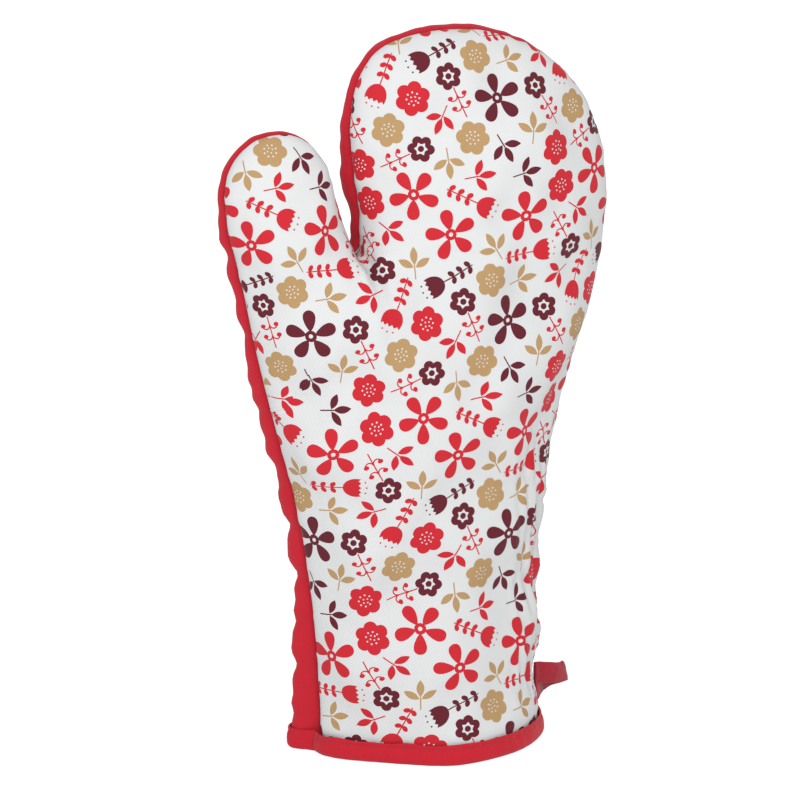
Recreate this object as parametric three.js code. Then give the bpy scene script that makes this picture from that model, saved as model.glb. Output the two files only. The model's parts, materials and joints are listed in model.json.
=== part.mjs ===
import * as THREE from 'three';

// An oven mitt standing upright on its open cuff. Millimetres, +Z up, palm side towards -Y, thumb towards -X.
// Two padded halves, palm (front) and back of the hand (back), meet along one seam that runs up one side,
// around the fingers, down into the thumb crotch, around the thumb and down the other side.

// ---- driving dimensions -------------------------------------------------------------------------
const MITT_LENGTH = 321; // rim of the cuff to the fingertips
const CUFF_WIDTH = 103; // seam to seam across the cuff, as it stands open
const CUFF_CENTRE = 3.2; // middle of the cuff, sideways from the middle of the wrist
const WRIST_RIGHT = 58; // finger-side seam at the wrist
const WRIST_LEFT = -58.5; // thumb-side seam at the wrist
const HAND_LEFT = -32; // thumb-side edge of the finger part
const HAND_RIGHT = 86; // widest point of the finger part
const THUMB_LEFT = -89.4; // widest point of the thumb
const THUMB_WIDTH = 47; // across the thumb
const THUMB_TIP_HEIGHT = 280; // rim to the top of the thumb
const CROTCH_X = -31.4; // bottom of the gap between thumb and fingers
const CROTCH_HEIGHT = 227.5; // rim to the bottom of that gap

const CUFF_FRONT_FULLNESS = 0.8; // depth of the front half over half its width, at the cuff
const CUFF_BACK_FULLNESS = 0.59; // the same for the back half
const WRIST_FULLNESS = 0.58; // both halves from here up
const HAND_FULLNESS = 0.5;
const FINGERTIP_FULLNESS = 0.6;
const THUMB_FULLNESS = 0.74;
const BACK_PUFF = 6.5; // how far the back half swells out past the seam
const CUFF_BACK_PUFF = 14; // the same at the thumb side of the cuff
const LOOP_SIDE_PUFF = 1.5; // the same beside the hanging loop, which lies against the seam there
const CUFF_FRONT_FLAT = 0.3; // how much flatter the front is at the thumb side of the cuff

const SHELL_THICKNESS = 0.9;
const WADDING_THICKNESS = 3.5;
const WADDING_AT_HEM = 2.2; // squeezed by the binding
const LINING_THICKNESS = 0.6;
const LAYER_GAP = 0.3; // clear space between neighbouring layers
const SEAM_GAP = 0.4; // clear space between the front and back halves

const BINDING_HEIGHT = 9.6;
const BINDING_THICKNESS = 1;
const THREAD_DIAMETER = 0.5;
const TOPSTITCH_DROP = 2; // below the binding's upper edge

const TAPE_WIDTH = 10.5;
const TAPE_THICKNESS = 1.6;
const LOOP_REACH = 24; // how far the hanging loop stands out from the seam
const LOOP_ABOVE_BINDING = 1; // clear space between the loop's lowest edge and the cuff binding
const LOOP_LEG_OFFSET = 7; // the lower leg is sewn in this far below the upper one
const LOOP_DROOP = 4; // how far the folded end hangs below the sewn end
const LOOP_HALF_OPENING = 4.6; // middle of the loop to the middle of the tape
const LOOP_ROOT_GAP = 1.2; // side seam to the sewn ends
const LOOP_TURN = 38; // degrees the loop points to the back of the mitt

// ---- mesh fineness ------------------------------------------------------------------------------
const COLUMNS = 12;
const WRIST_ROWS = 5;
const THUMB_ROOT_ROWS = 8;
const FINGER_ROWS = 6;
const THUMB_ROWS = 8;

const RED = 0xc8323e;
const BINDING_RED = 0xcb303f;
const WHITE = 0xebecea;
const WADDING_WHITE = 0xe6e2d8;

// ---- plane curves -------------------------------------------------------------------------------
const lerp = (a, b, t) => a + (b - a) * t;
const smoothstep = (a, b, x) => THREE.MathUtils.smoothstep(x, a, b);
const distance = (a, b) => Math.hypot(a[0] - b[0], a[1] - b[1]);

function curve(...p) {
  const bezier = new THREE.CubicBezierCurve(...p.map(([x, z]) => new THREE.Vector2(x, z)));
  return bezier.getPoints(32).map((q) => [q.x, q.y]);
}

const joined = (...curves) => curves.flatMap((c, i) => (i ? c.slice(1) : c));

function lengths(c) {
  const s = [0];
  for (let i = 1; i < c.length; i += 1) s.push(s[i - 1] + distance(c[i - 1], c[i]));
  return s;
}

function pointAlong(c, s, length) {
  const i = Math.min(Math.max(s.findIndex((v) => v >= length), 1), c.length - 1);
  const t = (length - s[i - 1]) / (s[i] - s[i - 1]);
  return [lerp(c[i - 1][0], c[i][0], t), lerp(c[i - 1][1], c[i][1], t)];
}

function spaced(c, fractions) {
  const s = lengths(c);
  return fractions.map((f) => pointAlong(c, s, f * s[s.length - 1]));
}

function splitCurve(c, fraction) {
  const s = lengths(c);
  const at = fraction * s[s.length - 1];
  const p = pointAlong(c, s, at);
  return [[...c.filter((_, i) => s[i] < at), p], [p, ...c.filter((_, i) => s[i] > at)]];
}

const even = (n) => Array.from({ length: n + 1 }, (_, i) => i / n);
const denseAtBothEnds = (n) => even(n).map((t) => (1 - Math.cos(Math.PI * t)) / 2);

// ---- the seam outline ---------------------------------------------------------------------------
function seamOutline() {
  const cuffLeft = CUFF_CENTRE - CUFF_WIDTH / 2;
  const cuffRight = CUFF_CENTRE + CUFF_WIDTH / 2;
  const wrist = CROTCH_HEIGHT * 0.473;
  const thumbWide = THUMB_TIP_HEIGHT - 27;
  const thumbRight = THUMB_LEFT + THUMB_WIDTH;
  const thumbTop = THUMB_TIP_HEIGHT;
  const handWide = lerp(CROTCH_HEIGHT, MITT_LENGTH, 0.11);
  const fingerTop = lerp(HAND_LEFT, HAND_RIGHT, 0.34);
  const notchLeft = CROTCH_X - 2.2;
  const notchRight = CROTCH_X + 1.4;
  const notchTop = CROTCH_HEIGHT + 4;
  return {
    wristLeft: joined(
      curve([cuffLeft, 0], [cuffLeft, 35], [WRIST_LEFT + 6, wrist - 27], [WRIST_LEFT, wrist]),
      curve([WRIST_LEFT, wrist], [WRIST_LEFT - 11, wrist + 48], [THUMB_LEFT, thumbWide - 34],
        [THUMB_LEFT, thumbWide]),
    ),
    thumbTip: joined(
      curve([THUMB_LEFT, thumbWide], [THUMB_LEFT, thumbTop - 11], [THUMB_LEFT + 8, thumbTop],
        [THUMB_LEFT + 21, thumbTop]),
      curve([THUMB_LEFT + 21, thumbTop], [THUMB_LEFT + 35, thumbTop], [thumbRight - 3.5, thumbTop - 10],
        [thumbRight, thumbTop - 23]),
    ),
    thumbInner: curve([thumbRight, thumbTop - 23], [thumbRight + 3, thumbTop - 33],
      [notchLeft - 3, notchTop + 8], [notchLeft, notchTop]),
    notch: curve([notchLeft, notchTop], [notchLeft + 1.4, CROTCH_HEIGHT - 1],
      [notchRight - 0.6, CROTCH_HEIGHT - 1], [notchRight, notchTop]),
    fingerLeft: curve([notchRight, notchTop], [notchRight + 0.6, notchTop + 16], [HAND_LEFT, MITT_LENGTH - 59],
      [HAND_LEFT, MITT_LENGTH - 42]),
    fingerTop: joined(
      curve([HAND_LEFT, MITT_LENGTH - 42], [HAND_LEFT, MITT_LENGTH - 12], [fingerTop - 30, MITT_LENGTH],
        [fingerTop, MITT_LENGTH]),
      curve([fingerTop, MITT_LENGTH], [fingerTop + 45, MITT_LENGTH], [HAND_RIGHT, handWide + 49],
        [HAND_RIGHT, handWide]),
    ),
    handRight: joined(
      curve([HAND_RIGHT, handWide], [HAND_RIGHT, handWide - 33], [WRIST_RIGHT + 8.5, wrist + 53],
        [WRIST_RIGHT, wrist + 20]),
      curve([WRIST_RIGHT, wrist + 20], [WRIST_RIGHT - 8, wrist - 12], [cuffRight - 7, 40], [cuffRight, 0]),
    ),
  };
}

// ---- the panel: a hand patch with a thumb patch joined to its left side ----------------------------
function fillBetween(bottom, top, left, right, u, v) {
  const corners = (k, i, j) => {
    const low = lerp(bottom[0][k], bottom[bottom.length - 1][k], u[i]);
    const high = lerp(top[0][k], top[top.length - 1][k], u[i]);
    return lerp(low, high, v[j]);
  };
  return left.map((_, j) => bottom.map((_p, i) => [0, 1].map((k) => (
    lerp(bottom[i][k], top[i][k], v[j]) + lerp(left[j][k], right[j][k], u[i]) - corners(k, i, j)))));
}

function makePanel() {
  const o = seamOutline();
  const [wristLeft, thumbSide] = splitCurve(o.wristLeft, 0.62);
  const [thumbLeftTip, restOfTip] = splitCurve(o.thumbTip, 0.25);
  const [thumbTip, thumbRightTip] = splitCurve(restOfTip, 0.67);
  const [notchLeft, notchRight] = splitCurve(o.notch, 0.5);
  const [fingerLeftTop, restOfTop] = splitCurve(o.fingerTop, 0.22);
  const [fingerTop, fingerRightTop] = splitCurve(restOfTop, 0.62);
  const thumbOuter = joined(thumbSide, thumbLeftTip);
  const thumbInner = [...joined(o.thumbInner, notchLeft).reverse(), ...thumbRightTip.slice(0, -1).reverse()];
  const fingerLeft = joined(notchRight, o.fingerLeft, fingerLeftTop);
  const handRight = joined(fingerRightTop, o.handRight).reverse();
  const root = [thumbOuter[0], fingerLeft[0]];

  const across = denseAtBothEnds(COLUMNS);
  const rootFractions = denseAtBothEnds(THUMB_ROOT_ROWS);
  const hemRow = (BINDING_HEIGHT + 1.5) / lengths(wristLeft).pop();
  const wristUp = [0, ...even(WRIST_ROWS - 1).map((t) => lerp(hemRow, 1, t))];
  const left = joined(spaced(wristLeft, wristUp), spaced(root, rootFractions),
    spaced(fingerLeft, denseAtBothEnds(FINGER_ROWS)));
  const s = lengths(left);
  const up = s.map((v) => v / s[s.length - 1]);
  const cuff = spaced([left[0], handRight[0]], across);
  const hand = fillBetween(cuff, spaced(fingerTop, across), left, spaced(handRight, up), across, up);
  const thumbUp = denseAtBothEnds(THUMB_ROWS);
  const thumb = fillBetween(spaced(root, rootFractions), spaced(thumbTip, rootFractions),
    spaced(thumbOuter, thumbUp), spaced(thumbInner, thumbUp), rootFractions, thumbUp);

  const points = hand.flat();
  const handIds = hand.map((row, j) => row.map((_, i) => j * row.length + i));
  const thumbIds = thumb.map((row, j) => row.map((p, i) => (
    j === 0 ? handIds[WRIST_ROWS + i][0] : points.push(p) - 1)));
  const quads = [handIds, thumbIds].flatMap((g) => g.slice(1).flatMap((_, j) => (
    g[j].slice(1).map((_q, i) => [g[j][i], g[j][i + 1], g[j + 1][i + 1], g[j + 1][i]]))));
  const last = handIds.length - 1;
  const seam = [
    ...handIds.map((row) => row[COLUMNS]),
    ...handIds[last].slice(0, -1).reverse(),
    ...handIds.slice(WRIST_ROWS + THUMB_ROOT_ROWS, last).reverse().map((row) => row[0]),
    ...thumbIds.slice(1).map((row) => row[THUMB_ROOT_ROWS]),
    ...thumbIds[THUMB_ROWS].slice(0, -1).reverse(),
    ...thumbIds.slice(1, -1).reverse().map((row) => row[0]),
    ...handIds.slice(0, WRIST_ROWS + 1).reverse().map((row) => row[0]),
  ];
  return { points, quads, seam, cuffIds: handIds[0], aboveCuffIds: handIds[1] };
}

// ---- inflation: the depth is the root of a membrane's deflection, fixed along the seam -------------
const inThumb = ([x, z]) => (
  smoothstep(2, 32, CROTCH_X - x) * smoothstep(CROTCH_HEIGHT - 84, CROTCH_HEIGHT - 9, z));

function fullnessAt([x, z]) {
  const hand = lerp(WRIST_FULLNESS, HAND_FULLNESS, smoothstep(120, 220, z));
  const tip = lerp(hand, FINGERTIP_FULLNESS, smoothstep(MITT_LENGTH - 80, MITT_LENGTH - 10, z));
  return lerp(tip, THUMB_FULLNESS, inThumb([x, z]));
}

const trianglesOf = (quads) => quads.flatMap(([a, b, c, d]) => [[a, b, c], [a, c, d]]);

function inflate(panel) {
  const { points } = panel;
  const count = points.length;
  const onSeam = new Set(panel.seam);
  const stiffness = points.map(() => new Map());
  const load = new Float64Array(count);
  const triangles = trianglesOf(panel.quads).map((t) => {
    const [a, b, c] = t.map((i) => points[i]);
    const twiceArea = (b[0] - a[0]) * (c[1] - a[1]) - (b[1] - a[1]) * (c[0] - a[0]);
    const sides = [[b, c], [c, a], [a, b]];
    const slopes = sides.map(([p, q]) => [(p[1] - q[1]) / twiceArea, (q[0] - p[0]) / twiceArea]);
    return { t, slopes, area: Math.abs(twiceArea) / 2 };
  });
  for (const { t, slopes, area } of triangles) {
    const source = t.reduce((sum, i) => sum + 2 * fullnessAt(points[i]) ** 2, 0) / 3;
    t.forEach((i, m) => {
      load[i] += (source * area) / 3;
      t.forEach((j, n) => {
        const k = (slopes[m][0] * slopes[n][0] + slopes[m][1] * slopes[n][1]) * area;
        stiffness[i].set(j, (stiffness[i].get(j) ?? 0) + k);
      });
    });
  }
  const deflection = new Float64Array(count);
  for (let sweep = 0; sweep < 1500; sweep += 1) {
    for (let i = 0; i < count; i += 1) {
      if (onSeam.has(i)) continue;
      let rest = load[i];
      for (const [j, k] of stiffness[i]) if (j !== i) rest -= k * deflection[j];
      deflection[i] = lerp(deflection[i], rest / stiffness[i].get(i), 1.7);
    }
  }
  const slope = points.map(() => [0, 0]);
  for (const { t, slopes, area } of triangles) {
    const g = [0, 1].map((k) => t.reduce((sum, i, m) => sum + slopes[m][k] * deflection[i], 0));
    for (const i of t) {
      slope[i][0] += g[0] * area;
      slope[i][1] += g[1] * area;
    }
    for (const i of t) slope[i].area = (slope[i].area ?? 0) + area;
  }
  panel.deflection = deflection;
  panel.slope = slope.map((g) => [g[0] / g.area, g[1] / g.area]);
  panel.seam.forEach((id, i) => {
    const [a, b] = [panel.seam[Math.max(i - 1, 0)], panel.seam[Math.min(i + 1, panel.seam.length - 1)]];
    const along = [points[b][0] - points[a][0], points[b][1] - points[a][1]];
    const size = Math.hypot(...panel.slope[id]) / Math.hypot(...along);
    panel.slope[id] = [-along[1] * size, along[0] * size];
  });
}

function measureSeamDistance(panel) {
  const seam = panel.seam.map((i) => panel.points[i]);
  panel.seamDistance = panel.points.map((p) => Math.min(...seam.slice(1).map((b, i) => {
    const a = seam[i];
    const ab = [b[0] - a[0], b[1] - a[1]];
    const t = ((p[0] - a[0]) * ab[0] + (p[1] - a[1]) * ab[1]) / (ab[0] ** 2 + ab[1] ** 2);
    const c = THREE.MathUtils.clamp(t, 0, 1);
    return distance(p, [a[0] + ab[0] * c, a[1] + ab[1] * c]);
  })));
}

// ---- one skin of one half: side is -1 for the front and +1 for the back ----------------------------
function fullnessScale(side, [x, z]) {
  const low = 1 - smoothstep(0, 85, z);
  const atCuff = (side < 0 ? CUFF_FRONT_FULLNESS : CUFF_BACK_FULLNESS) / WRIST_FULLNESS;
  const towardsThumb = smoothstep(0, 0.85, (2 * (CUFF_CENTRE - x)) / CUFF_WIDTH);
  const flat = side < 0 ? 1 - CUFF_FRONT_FLAT * towardsThumb * low : 1;
  return lerp(1, atCuff, low) * flat;
}

function puffAt(side, i, panel) {
  const [x, z] = panel.points[i];
  if (side < 0) return 0;
  const low = (1 - smoothstep(0, 110, z)) * smoothstep(0, 40, CUFF_CENTRE - x);
  const byLoop = (1 - smoothstep(35, 110, z)) * smoothstep(0, 40, x - CUFF_CENTRE);
  const nearCrotch = smoothstep(4, 32, distance([x, z], [CROTCH_X, CROTCH_HEIGHT]));
  const onThumb = 1 - 0.3 * inThumb([x, z]);
  const onTips = 1 - 0.7 * smoothstep(MITT_LENGTH - 75, MITT_LENGTH - 15, z);
  const d = panel.seamDistance[i];
  const swell = (1 - Math.exp(-d)) * Math.exp(-d / lerp(12, 17, low));
  const most = lerp(lerp(BACK_PUFF, CUFF_BACK_PUFF, low), LOOP_SIDE_PUFF, byLoop);
  return most * nearCrotch * onThumb * onTips * swell;
}

function skinPoint(panel, side, i, depth) {
  const [x, z] = panel.points[i];
  const [gx, gz] = panel.slope[i];
  const scale = fullnessScale(side, [x, z]);
  const height = Math.sqrt(Math.max(panel.deflection[i], 0));
  const onCuff = z < 1e-6;
  const normal = new THREE.Vector3(-gx, (2 * side * height) / scale, onCuff ? 0 : -gz).normalize();
  const outward = new THREE.Vector3(-gx, 0, onCuff ? 0 : -gz).normalize();
  return new THREE.Vector3(x, side * (scale * height + SEAM_GAP / 2), z)
    .addScaledVector(outward, puffAt(side, i, panel)).addScaledVector(normal, -depth);
}

function cuffPoint(panel, side, column, z, depth) {
  const low = skinPoint(panel, side, panel.cuffIds[column], depth(0));
  const above = panel.points[panel.aboveCuffIds[column]][1];
  const high = skinPoint(panel, side, panel.aboveCuffIds[column], depth(above));
  return low.lerp(high, z / high.z);
}

// ---- closed bodies ------------------------------------------------------------------------------
function body(name, vertices, triangles, colour, roughness = 0.9) {
  const geometry = new THREE.BufferGeometry();
  geometry.setAttribute('position', new THREE.Float32BufferAttribute(vertices.flatMap((v) => v.toArray()), 3));
  geometry.setIndex(triangles.flat());
  geometry.computeVertexNormals();
  const mesh = new THREE.Mesh(geometry, new THREE.MeshStandardMaterial({ color: colour, roughness }));
  mesh.name = name;
  return mesh;
}

const flipped = (triangles) => triangles.map(([a, b, c]) => [a, c, b]);

function panelLayer(name, panel, side, outerDepth, innerDepth, colour) {
  const count = panel.points.length;
  const hem = BINDING_THICKNESS + LAYER_GAP;
  const column = new Map(panel.cuffIds.map((id, c) => [id, c]));
  const skin = (depth) => panel.points.map(([, z], i) => (
    column.has(i) ? cuffPoint(panel, side, column.get(i), hem, depth) : skinPoint(panel, side, i, depth(z))));
  const vertices = [...skin(outerDepth), ...skin(innerDepth)];
  const face = trianglesOf(panel.quads);
  const edge = [...panel.seam, ...panel.cuffIds.slice(1, -1)];
  const triangles = [...face, ...flipped(face).map((t) => t.map((i) => i + count))];
  edge.forEach((a, i) => {
    const b = edge[(i + 1) % edge.length];
    triangles.push([b, a, a + count], [b, a + count, b + count]);
  });
  return body(name, vertices, side < 0 ? triangles : flipped(triangles), colour);
}

// a band with the same closed section at every station
function sweep(name, stations, colour, reversed, roughness) {
  const n = stations[0].length;
  const vertices = stations.flat();
  const triangles = [];
  for (let s = 1; s < stations.length; s += 1) {
    for (let i = 0; i < n; i += 1) {
      const [a, b] = [(s - 1) * n + i, (s - 1) * n + ((i + 1) % n)];
      if (vertices[b].z < vertices[a].z) triangles.push([a, b, a + n], [b, b + n, a + n]);
      else triangles.push([a, b, b + n], [a, b + n, a + n]);
    }
  }
  return { vertices, triangles, n, name, colour, reversed, roughness };
}

function capped(band, capTriangles) {
  const lastStation = band.vertices.length - band.n;
  const farCap = capTriangles.map((t) => t.map((i) => i + lastStation));
  const all = [...band.triangles, ...flipped(capTriangles), ...farCap];
  return body(band.name, band.vertices, band.reversed ? flipped(all) : all, band.colour, band.roughness);
}

const fan = (n) => Array.from({ length: n - 2 }, (_, i) => [0, i + 1, i + 2]);

// ---- layers -------------------------------------------------------------------------------------
const waddingAt = (z) => lerp(WADDING_AT_HEM, WADDING_THICKNESS, smoothstep(6, 34, z));
const waddingOuter = () => SHELL_THICKNESS + LAYER_GAP;
const waddingInner = (z) => SHELL_THICKNESS + LAYER_GAP + waddingAt(z);
const liningOuter = (z) => waddingInner(z) + LAYER_GAP;
const liningInner = (z) => liningOuter(z) + LINING_THICKNESS;

function makeHalf(panel, side, label, shellColour) {
  return [
    panelLayer(`${label}_shell_panel`, panel, side, () => 0, () => SHELL_THICKNESS, shellColour),
    panelLayer(`${label}_wadding`, panel, side, waddingOuter, waddingInner, WADDING_WHITE),
    panelLayer(`${label}_lining`, panel, side, liningOuter, liningInner, WHITE),
  ];
}

// the binding is folded under the hem: an outer leg, a flat foot and an inner leg
function makeBinding(panel, side, label) {
  const t = BINDING_THICKNESS;
  const outside = () => -LAYER_GAP;
  const inside = (z) => liningInner(z) + LAYER_GAP;
  const out = (extra) => (z) => outside(z) - extra;
  const inn = (extra) => (z) => inside(z) + extra;
  const section = [
    [out(t), BINDING_HEIGHT], [out(t), 2], [out(t * 0.5), 0.5], [out(-0.6), 0],
    [inn(-0.6), 0], [inn(t * 0.5), 0.5], [inn(t), 2], [inn(t), BINDING_HEIGHT],
    [inn(0), BINDING_HEIGHT], [inn(0), t], [out(0), t], [out(0), BINDING_HEIGHT],
  ];
  const stations = panel.cuffIds.map((_, c) => (
    section.map(([depth, z]) => cuffPoint(panel, side, c, z, depth))));
  const band = sweep(`${label}_cuff_binding`, stations, BINDING_RED, side > 0);
  return capped(band, [[0, 1, 10], [0, 10, 11], [1, 2, 10], [2, 3, 10], [3, 4, 10], [4, 9, 10],
    [4, 5, 9], [5, 6, 9], [6, 7, 9], [7, 8, 9]]);
}

function makeTopstitch(panel, side, label) {
  const radius = THREAD_DIAMETER / 2;
  const off = LAYER_GAP + BINDING_THICKNESS + LAYER_GAP + radius;
  const z = BINDING_HEIGHT - TOPSTITCH_DROP;
  const turns = even(6).slice(0, 6).map((a) => 2 * Math.PI * a);
  const ring = turns.map((a) => [Math.cos(a) * radius, Math.sin(a) * radius]);
  const stations = panel.cuffIds.map((_, c) => ring.map(([r, h]) => (
    cuffPoint(panel, side, c, z - h, () => -off - r))));
  return capped(sweep(`${label}_binding_topstitch`, stations, BINDING_RED, side > 0), fan(6));
}

// the hanging loop: a tape that leaves the side seam, folds round and comes back behind itself, lower down
function loopPath() {
  const h = LOOP_HALF_OPENING;
  const start = LOOP_ROOT_GAP;
  const turn = LOOP_REACH - h - TAPE_THICKNESS / 2;
  const open = (r) => h * smoothstep(start, turn * 0.7, r);
  const out = even(6).map((t) => lerp(start, turn, t)).map((r) => [r, -open(r)]);
  const round = even(6).slice(1, -1).map((t) => -Math.PI / 2 + Math.PI * t)
    .map((a) => [turn + h * Math.cos(a), h * Math.sin(a)]);
  const back = [...out].reverse().map(([r, s]) => [r, -s]);
  return [...out, ...round, ...back];
}

function makeHangingLoop(panel) {
  const path = loopPath();
  const s = lengths(path);
  const total = s[s.length - 1];
  const up = new THREE.Vector3(0, 0, 1);
  const cuffRight = panel.points[panel.cuffIds[COLUMNS]][0];
  const along = path.map((p, i) => {
    const [a, b] = [path[Math.max(i - 1, 0)], path[Math.min(i + 1, path.length - 1)]];
    return new THREE.Vector3(b[0] - a[0], b[1] - a[1], 0).normalize();
  });
  const drop = s.map((v) => LOOP_LEG_OFFSET * smoothstep(0.42, 1, v / total));
  const stations = path.map(([r, q], i) => {
    const sag = LOOP_DROOP * (r / LOOP_REACH);
    const centre = new THREE.Vector3(r, q, -drop[i] - sag);
    const across = new THREE.Vector3().crossVectors(up, along[i]).multiplyScalar(TAPE_THICKNESS / 2);
    const wide = up.clone().multiplyScalar(TAPE_WIDTH / 2);
    return [[1, 1], [1, -1], [-1, -1], [-1, 1]].map(([a, w]) => (
      centre.clone().addScaledVector(across, a).addScaledVector(wide, w)));
  });
  const loop = capped(sweep('hanging_loop', stations, RED, true), fan(4));
  loop.geometry.rotateZ(THREE.MathUtils.degToRad(LOOP_TURN));
  loop.geometry.computeBoundingBox();
  const lift = BINDING_HEIGHT + LOOP_ABOVE_BINDING - loop.geometry.boundingBox.min.z;
  loop.geometry.translate(cuffRight, 0, lift);
  return loop;
}

// ---- the mitt -----------------------------------------------------------------------------------
const panel = makePanel();
inflate(panel);
measureSeamDistance(panel);

const group = new THREE.Group();
group.name = 'oven_mitt';
group.add(
  ...makeHalf(panel, -1, 'front', WHITE),
  ...makeHalf(panel, 1, 'back', RED),
  makeBinding(panel, -1, 'front'),
  makeBinding(panel, 1, 'back'),
  makeTopstitch(panel, -1, 'front'),
  makeTopstitch(panel, 1, 'back'),
  makeHangingLoop(panel),
);

// stand the mitt on z = 0 with the middle of its box over the origin
const box = new THREE.Box3().setFromObject(group);
const middle = box.getCenter(new THREE.Vector3());
group.children.forEach((mesh) => mesh.geometry.translate(-middle.x, -middle.y, -box.min.z));

export default group;
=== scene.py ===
import json
import math

import bpy
import numpy as np
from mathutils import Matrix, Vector

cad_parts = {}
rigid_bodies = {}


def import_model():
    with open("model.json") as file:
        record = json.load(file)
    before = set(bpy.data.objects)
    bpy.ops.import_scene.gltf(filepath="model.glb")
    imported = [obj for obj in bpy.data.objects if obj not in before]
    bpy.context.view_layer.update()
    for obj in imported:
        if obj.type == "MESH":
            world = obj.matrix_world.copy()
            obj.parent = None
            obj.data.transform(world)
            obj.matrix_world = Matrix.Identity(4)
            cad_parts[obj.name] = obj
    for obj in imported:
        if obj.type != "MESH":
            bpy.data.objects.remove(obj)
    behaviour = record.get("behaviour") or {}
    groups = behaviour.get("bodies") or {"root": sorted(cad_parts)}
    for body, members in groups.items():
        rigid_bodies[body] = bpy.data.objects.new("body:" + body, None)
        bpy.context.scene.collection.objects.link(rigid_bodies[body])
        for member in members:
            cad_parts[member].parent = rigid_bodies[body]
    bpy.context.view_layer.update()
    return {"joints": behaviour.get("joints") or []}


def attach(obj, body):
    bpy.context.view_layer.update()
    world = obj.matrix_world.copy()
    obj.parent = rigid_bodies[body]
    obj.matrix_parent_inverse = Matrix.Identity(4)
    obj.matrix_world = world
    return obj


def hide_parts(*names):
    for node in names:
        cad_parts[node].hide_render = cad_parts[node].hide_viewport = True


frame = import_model()

MM = 0.001
rng = np.random.default_rng(20)

# ---------------------------------------------------------------- sizes of the mitt, mm, as in the CAD source
LENGTH = 321.0
CUFF_WIDTH, CUFF_CENTRE = 103.0, 3.2
WRIST_LEFT, WRIST_RIGHT = -58.5, 58.0
HAND_LEFT, HAND_RIGHT = -32.0, 86.0
THUMB_LEFT, THUMB_WIDTH, THUMB_TOP = -89.4, 47.0, 280.0
CROTCH = (-31.4, 227.5)
BINDING_HEIGHT = 9.6
SHELL, WADDING, WADDING_AT_HEM, LINING, LAYER_GAP = 0.9, 3.5, 2.2, 0.6, 0.3
CUFF_RIGHT = CUFF_CENTRE + CUFF_WIDTH / 2
PIVOT = Vector(frame["joints"][0]["pos_m"]) / MM
SHIFT = np.array([PIVOT.x - CUFF_RIGHT, PIVOT.y, 0.0])  # from the pattern's own axes to the frame

# ---------------------------------------------------------------- camera
AZIMUTH, ELEVATION, DISTANCE = math.radians(-22), math.radians(18), 14.0
PIXELS_PER_MM = 2.3
VIEW_RIGHT_MM, VIEW_UP_MM = -8.4, 146.9  # middle of the view from the middle of the rim


def place_camera():
    back = Vector((math.sin(AZIMUTH) * math.cos(ELEVATION), -math.cos(AZIMUTH) * math.cos(ELEVATION),
                   math.sin(ELEVATION)))
    right = Vector((math.cos(AZIMUTH), math.sin(AZIMUTH), 0))
    up = back.cross(right)
    target = (Vector(SHIFT) + right * VIEW_RIGHT_MM + up * VIEW_UP_MM) * MM
    data = bpy.data.cameras.new("camera")
    data.sensor_width = 36
    data.lens = 36 * DISTANCE / (800 / PIXELS_PER_MM * MM)
    data.clip_end = 60
    camera = bpy.data.objects.new("camera", data)
    camera.location = target + back * DISTANCE
    camera.rotation_euler = (-back).to_track_quat("-Z", "Y").to_euler()
    bpy.context.scene.collection.objects.link(camera)
    bpy.context.scene.camera = camera


place_camera()


# ---------------------------------------------------------------- small helpers
def smooth(a, b, x):
    t = np.clip((x - a) / (b - a), 0, 1)
    return t * t * (3 - 2 * t)


def lerp(a, b, t):
    return a + (b - a) * t


def unit(v):
    return v / np.maximum(np.linalg.norm(v, axis=-1, keepdims=True), 1e-12)


def bezier(*points):
    p = np.array(points, float)
    t = np.linspace(0, 1, 61)[:, None]
    return (1 - t) ** 3 * p[0] + 3 * (1 - t) ** 2 * t * p[1] + 3 * (1 - t) * t ** 2 * p[2] + t ** 3 * p[3]


def joined(*curves):
    return np.vstack([curves[0]] + [c[1:] for c in curves[1:]])


def lengths(c):
    return np.r_[0, np.cumsum(np.linalg.norm(np.diff(c, axis=0), axis=1))]


def spaced(c, fractions):
    s = lengths(c)
    return np.stack([np.interp(fractions * s[-1], s, c[:, k]) for k in range(2)], 1)


def split(c, fraction):
    s = lengths(c)
    at = fraction * s[-1]
    p = np.array([[np.interp(at, s, c[:, k]) for k in range(2)]])
    return np.vstack([c[s < at], p]), np.vstack([p, c[s > at]])


def graded(n, start=0.85, end=0.85):
    """n steps from 0 to 1 that get finer towards the ends."""
    t = (np.arange(n) + 0.5) / n
    step = 1 - start * np.exp(-t * 7) - end * np.exp(-(1 - t) * 7)
    return np.r_[0, np.cumsum(step)] / step.sum()


class Waves:
    """Smooth seeded noise: a sum of plane waves of about one wavelength."""

    def __init__(self, wavelength, count=14, dims=2):
        direction = unit(rng.normal(size=(count, dims)))
        size = rng.uniform(0.7, 1.5, count)[:, None]
        self.k = direction * size * 2 * math.pi / wavelength
        self.phase = rng.uniform(0, 2 * math.pi, count)

    def __call__(self, *coordinates):
        p = np.stack(np.broadcast_arrays(*coordinates), -1)
        return np.sin(p @ self.k.T + self.phase).sum(-1) / math.sqrt(len(self.phase) / 2)


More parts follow.
